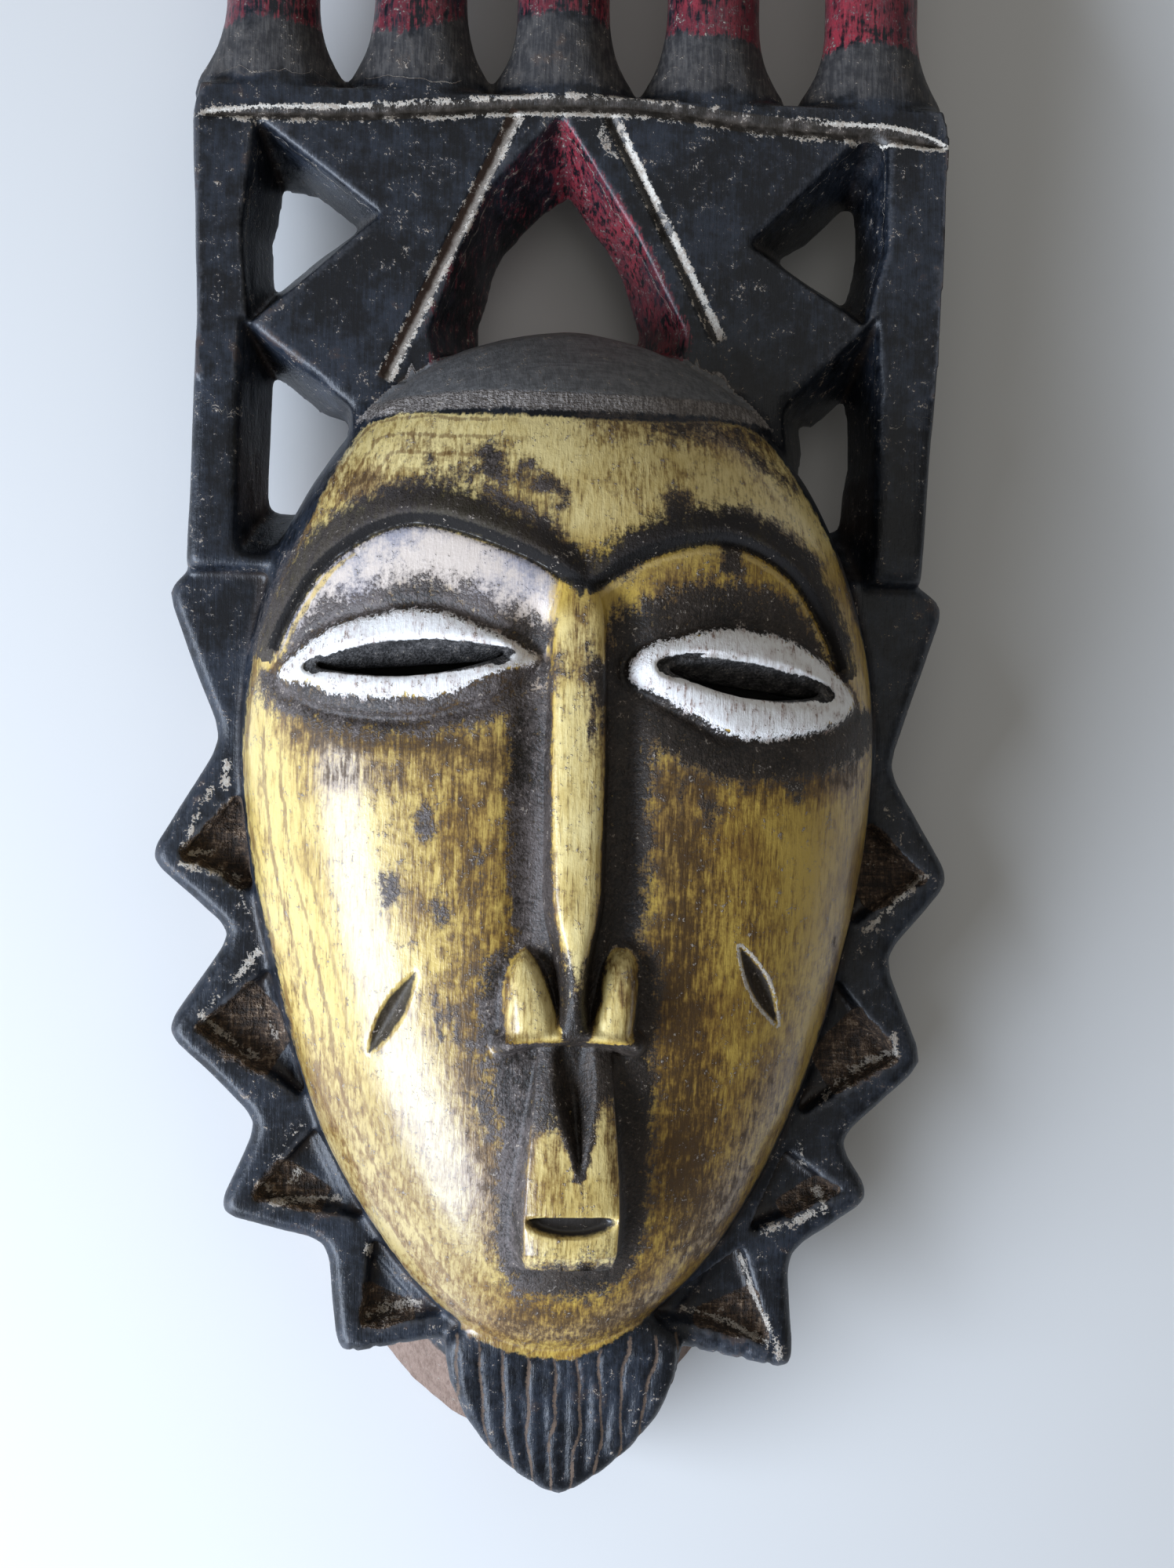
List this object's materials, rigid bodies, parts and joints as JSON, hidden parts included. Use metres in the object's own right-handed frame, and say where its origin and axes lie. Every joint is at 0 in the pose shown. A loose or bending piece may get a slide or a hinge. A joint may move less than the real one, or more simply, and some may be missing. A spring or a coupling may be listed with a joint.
{
  "type": "carved face mask",
  "caption": "Carved and painted wooden face mask: an egg-shaped hollow face with slit eyes, a toothed border, a beard and an openwork crest with upright posts.",
  "frame": {"origin": "centre of the mask's box at the flat back rim it lies on", "axes": "+X to the right as the face is seen, +Y toward the top of the mask, +Z out of the face"},
  "size_m": [0.1844, 0.395, 0.087],
  "materials": {
    "carved_wood": "carved wood, painted black, yellow ochre, white and red, worn and handled to a soft shine; raw wood behind"
  },
  "bodies": {
    "root": {"mask": "carved_wood"}
  },
  "joints": []
}
